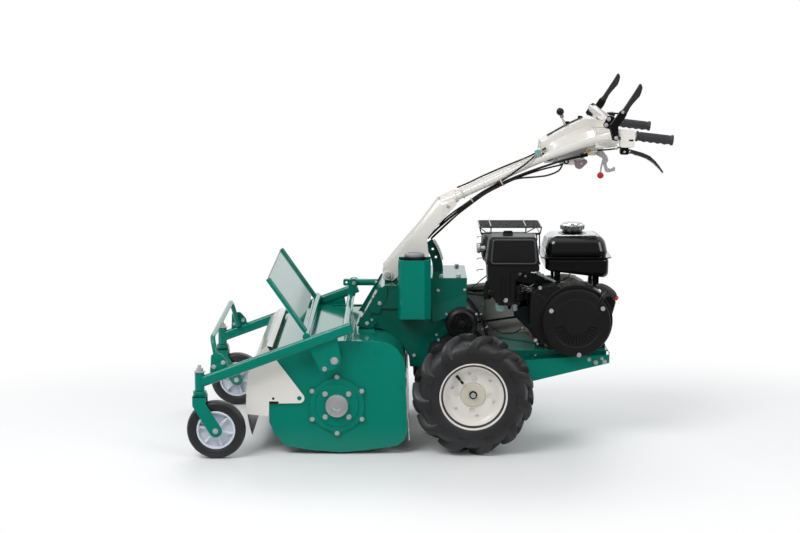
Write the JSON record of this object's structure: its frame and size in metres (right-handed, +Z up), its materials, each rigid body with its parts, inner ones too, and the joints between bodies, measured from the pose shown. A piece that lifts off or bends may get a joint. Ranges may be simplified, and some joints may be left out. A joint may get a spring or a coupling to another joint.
{
  "type": "hammer knife mower",
  "caption": "Walk-behind hammer knife mower: hooded flail rotor on swivelling gauge wheels, lugged drive wheels, petrol engine and raised handlebars.",
  "frame": {"origin": "on the ground, on the machine's middle plane, midway between its front and rear ends", "axes": "+X to the rear (handle), -X to the front (gauge wheels), +Y to the machine's right, +Z up"},
  "size_m": [1.6431, 0.865, 1.2636],
  "materials": {
    "green_paint": "glossy green enamel",
    "dark_green_paint": "glossy dark green enamel",
    "ivory_paint": "satin ivory enamel",
    "black_paint": "glossy black enamel",
    "black_tank": "glossy black",
    "black_plastic": "grained black",
    "tyre_rubber": "matt rubber",
    "flap_rubber": "matt rubber",
    "hub_plastic": "moulded grey",
    "bare_steel": "zinc plated",
    "cast_metal": "cast, dark"
  },
  "bodies": {
    "chassis": {"deck_hood": "green_paint", "side_plate_left": "green_paint", "side_plate_right": "green_paint", "bearing_housing": "green_paint", "rotor_drive_cover": "green_paint", "rear_flap": "ivory_paint", "chassis_frame": "dark_green_paint", "oil_canister": "black_plastic", "transmission_case": "cast_metal", "drive_fan_cover": "black_plastic", "engine_base": "green_paint", "engine_block": "cast_metal", "fan_housing": "black_paint", "recoil_cover": "black_paint", "fuel_tank": "black_tank", "air_cleaner_base": "black_plastic", "air_cleaner_cover": "black_plastic", "carburettor": "cast_metal", "muffler": "cast_metal", "muffler_guard": "black_paint", "belt_cover": "ivory_paint", "drive_belt": "flap_rubber"},
    "front_carriage": {"front_frame": "green_paint", "front_shield": "green_paint", "front_guard": "green_paint"},
    "height_rod": {"height_rod": "green_paint"},
    "caster_fork_left": {"caster_fork_left": "green_paint"},
    "caster_fork_right": {"caster_fork_right": "green_paint"},
    "caster_wheel_left": {"caster_tyre_left": "tyre_rubber", "caster_hub_left": "hub_plastic"},
    "caster_wheel_right": {"caster_tyre_right": "tyre_rubber", "caster_hub_right": "hub_plastic"},
    "front_flap": {"front_flap": "ivory_paint", "flap_curtain": "flap_rubber"},
    "rotor": {"rotor": "dark_green_paint"},
    "knife_row_1": {"knife_row_1": "bare_steel"},
    "knife_row_2": {"knife_row_2": "bare_steel"},
    "knife_row_3": {"knife_row_3": "bare_steel"},
    "knife_row_4": {"knife_row_4": "bare_steel"},
    "wheel_left": {"rim_left": "ivory_paint", "tyre_left": "tyre_rubber"},
    "wheel_right": {"rim_right": "ivory_paint", "tyre_right": "tyre_rubber"},
    "engine_pulley": {"engine_pulley": "bare_steel"},
    "drive_pulley": {"drive_pulley": "bare_steel"},
    "fuel_cap": {"fuel_cap": "bare_steel"},
    "recoil_grip": {"recoil_grip": "black_plastic"},
    "handle": {"handle_column": "ivory_paint", "handle_frame": "ivory_paint", "console_cover": "ivory_paint", "lever_shaft": "black_paint", "grip_left": "black_plastic", "grip_right": "black_plastic", "cable_bundle": "flap_rubber"},
    "clutch_lever_left": {"clutch_lever_left": "black_plastic"},
    "clutch_lever_right": {"clutch_lever_right": "black_plastic"},
    "brake_lever": {"brake_lever": "black_plastic"},
    "hook_lever": {"hook_lever": "bare_steel"},
    "gear_lever": {"gear_lever": "black_plastic"},
    "throttle_lever": {"throttle_lever": "black_plastic"}
  },
  "joints": [
    {"name": "front_carriage_tilt", "type": "hinge", "parent": "chassis", "child": "front_carriage", "pos_m": [-0.318, 0, 0.335], "axis": [0, 1, 0], "range_deg": [-6.5, 0]},
    {"name": "height_rod_slide", "type": "slide", "parent": "chassis", "child": "height_rod", "axis": [1, 0, 0], "range_m": [-0.019, 0]},
    {"name": "caster_swivel_left", "type": "hinge", "parent": "front_carriage", "child": "caster_fork_left", "pos_m": [-0.773, -0.3925, 0.234], "axis": [0, 0, 1], "continuous": true},
    {"name": "caster_swivel_right", "type": "hinge", "parent": "front_carriage", "child": "caster_fork_right", "pos_m": [-0.773, 0.3925, 0.234], "axis": [0, 0, 1], "continuous": true},
    {"name": "caster_roll_left", "type": "hinge", "parent": "caster_fork_left", "child": "caster_wheel_left", "pos_m": [-0.719, -0.3925, 0.1], "axis": [0, 1, 0], "continuous": true},
    {"name": "caster_roll_right", "type": "hinge", "parent": "caster_fork_right", "child": "caster_wheel_right", "pos_m": [-0.719, 0.3925, 0.1], "axis": [0, 1, 0], "continuous": true},
    {"name": "front_flap_swing", "type": "hinge", "parent": "chassis", "child": "front_flap", "pos_m": [-0.439, 0, 0.198], "axis": [0, 1, 0], "range_deg": [0, 30]},
    {"name": "rotor_spin", "type": "hinge", "parent": "chassis", "child": "rotor", "pos_m": [-0.311, 0, 0.174], "axis": [0, 1, 0], "continuous": true},
    {"name": "knife_row_1_swing", "type": "hinge", "parent": "rotor", "child": "knife_row_1", "pos_m": [-0.2509, 0, 0.2341], "axis": [0, 1, 0], "range_deg": [-100, 8]},
    {"name": "knife_row_2_swing", "type": "hinge", "parent": "rotor", "child": "knife_row_2", "pos_m": [-0.3711, 0, 0.2341], "axis": [0, 1, 0], "range_deg": [-8, 100]},
    {"name": "knife_row_3_swing", "type": "hinge", "parent": "rotor", "child": "knife_row_3", "pos_m": [-0.3711, 0, 0.1139], "axis": [0, 1, 0], "range_deg": [-80, 80]},
    {"name": "knife_row_4_swing", "type": "hinge", "parent": "rotor", "child": "knife_row_4", "pos_m": [-0.2509, 0, 0.1139], "axis": [0, 1, 0], "range_deg": [-80, 80]},
    {"name": "wheel_roll_left", "type": "hinge", "parent": "chassis", "child": "wheel_left", "pos_m": [0.153, -0.335, 0.2085], "axis": [0, 1, 0], "continuous": true},
    {"name": "wheel_roll_right", "type": "hinge", "parent": "chassis", "child": "wheel_right", "pos_m": [0.153, 0.335, 0.2085], "axis": [0, 1, 0], "continuous": true},
    {"name": "engine_pulley_spin", "type": "hinge", "parent": "chassis", "child": "engine_pulley", "pos_m": [0.512, 0.223, 0.441], "axis": [0, 1, 0], "continuous": true},
    {"name": "drive_pulley_spin", "type": "hinge", "parent": "chassis", "child": "drive_pulley", "pos_m": [0.15, 0.223, 0.405], "axis": [0, 1, 0], "continuous": true},
    {"name": "fuel_cap_turn", "type": "hinge", "parent": "chassis", "child": "fuel_cap", "pos_m": [0.512, -0.03, 0.745], "axis": [0, 0, 1], "range_deg": [0, 90]},
    {"name": "recoil_pull", "type": "slide", "parent": "chassis", "child": "recoil_grip", "axis": [0.5501, 0, 0.8351], "range_m": [0, 0.6], "stiffness_N_per_m": 6, "springref_m": -0.5},
    {"name": "handle_height", "type": "hinge", "parent": "chassis", "child": "handle", "pos_m": [-0.139, 0, 0.573], "axis": [0, 1, 0], "range_deg": [-10, 0]},
    {"name": "clutch_lever_left_swing", "type": "hinge", "parent": "handle", "child": "clutch_lever_left", "pos_m": [0.627, -0.318, 1.082], "axis": [0, 1, 0], "range_deg": [0, 40], "stiffness_Nm_per_rad": 1, "springref_deg": -17.19},
    {"name": "clutch_lever_right_swing", "type": "hinge", "parent": "handle", "child": "clutch_lever_right", "pos_m": [0.627, 0.318, 1.082], "axis": [0, 1, 0], "range_deg": [0, 40], "stiffness_Nm_per_rad": 1, "springref_deg": -17.19},
    {"name": "brake_lever_squeeze", "type": "hinge", "parent": "handle", "child": "brake_lever", "pos_m": [0.658, -0.29, 1.034], "axis": [0, 1, 0], "range_deg": [-15, 0], "stiffness_Nm_per_rad": 1, "springref_deg": 17.19},
    {"name": "hook_lever_swing", "type": "hinge", "parent": "handle", "child": "hook_lever", "pos_m": [0.594, -0.085, 1.012], "axis": [0, 1, 0], "range_deg": [-25, 0], "stiffness_Nm_per_rad": 0.5, "springref_deg": 17.19},
    {"name": "gear_lever_shift", "type": "hinge", "parent": "handle", "child": "gear_lever", "pos_m": [0.5, 0, 1.0545], "axis": [0, 1, 0], "range_deg": [-15, 15]},
    {"name": "throttle_turn", "type": "hinge", "parent": "handle", "child": "throttle_lever", "pos_m": [0.678, 0.29, 1.1178], "axis": [0, 0, 1], "range_deg": [0, 35]}
  ],
  "couplings": [
    {"joint": "height_rod_slide", "follows": "front_carriage_tilt", "m_per_rad": 0.164},
    {"joint": "drive_pulley_spin", "follows": "engine_pulley_spin", "ratio": 0.7479}
  ]
}
